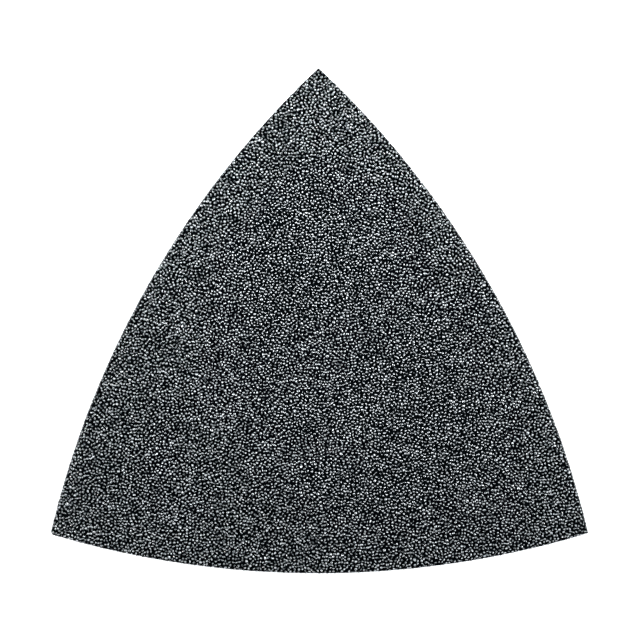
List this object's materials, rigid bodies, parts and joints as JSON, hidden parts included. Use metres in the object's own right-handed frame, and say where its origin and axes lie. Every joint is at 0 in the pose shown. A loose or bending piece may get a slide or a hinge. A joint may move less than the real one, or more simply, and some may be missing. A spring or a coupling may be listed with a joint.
{
  "type": "triangular sanding sheet",
  "caption": "Triangular hook-and-loop sanding sheet with three bowed sides and coarse dark grit, for a detail sander.",
  "frame": {"origin": "centre of the three-cornered outline, on the loop face that goes against the sanding pad", "axes": "+Z out of the grit face, +Y from the centre to one corner, +X along the opposite side"},
  "size_m": [0.08, 0.0752, 0.002],
  "materials": {
    "loop_fabric": "brushed warp-knit nylon, matt, mid grey",
    "adhesive": "thin translucent film, satin",
    "paper": "latex-saturated kraft paper, matt",
    "resin": "cured phenolic resin, almost black with a cold tint, glossy",
    "grit": "crushed grains, sharp facets with bright glints"
  },
  "bodies": {
    "root": {"loop_pile": "loop_fabric", "loop_ground_knit": "loop_fabric", "laminating_adhesive": "adhesive", "backing_paper": "paper", "make_coat": "resin", "size_coat": "resin", "abrasive_grains": "grit"}
  },
  "joints": []
}
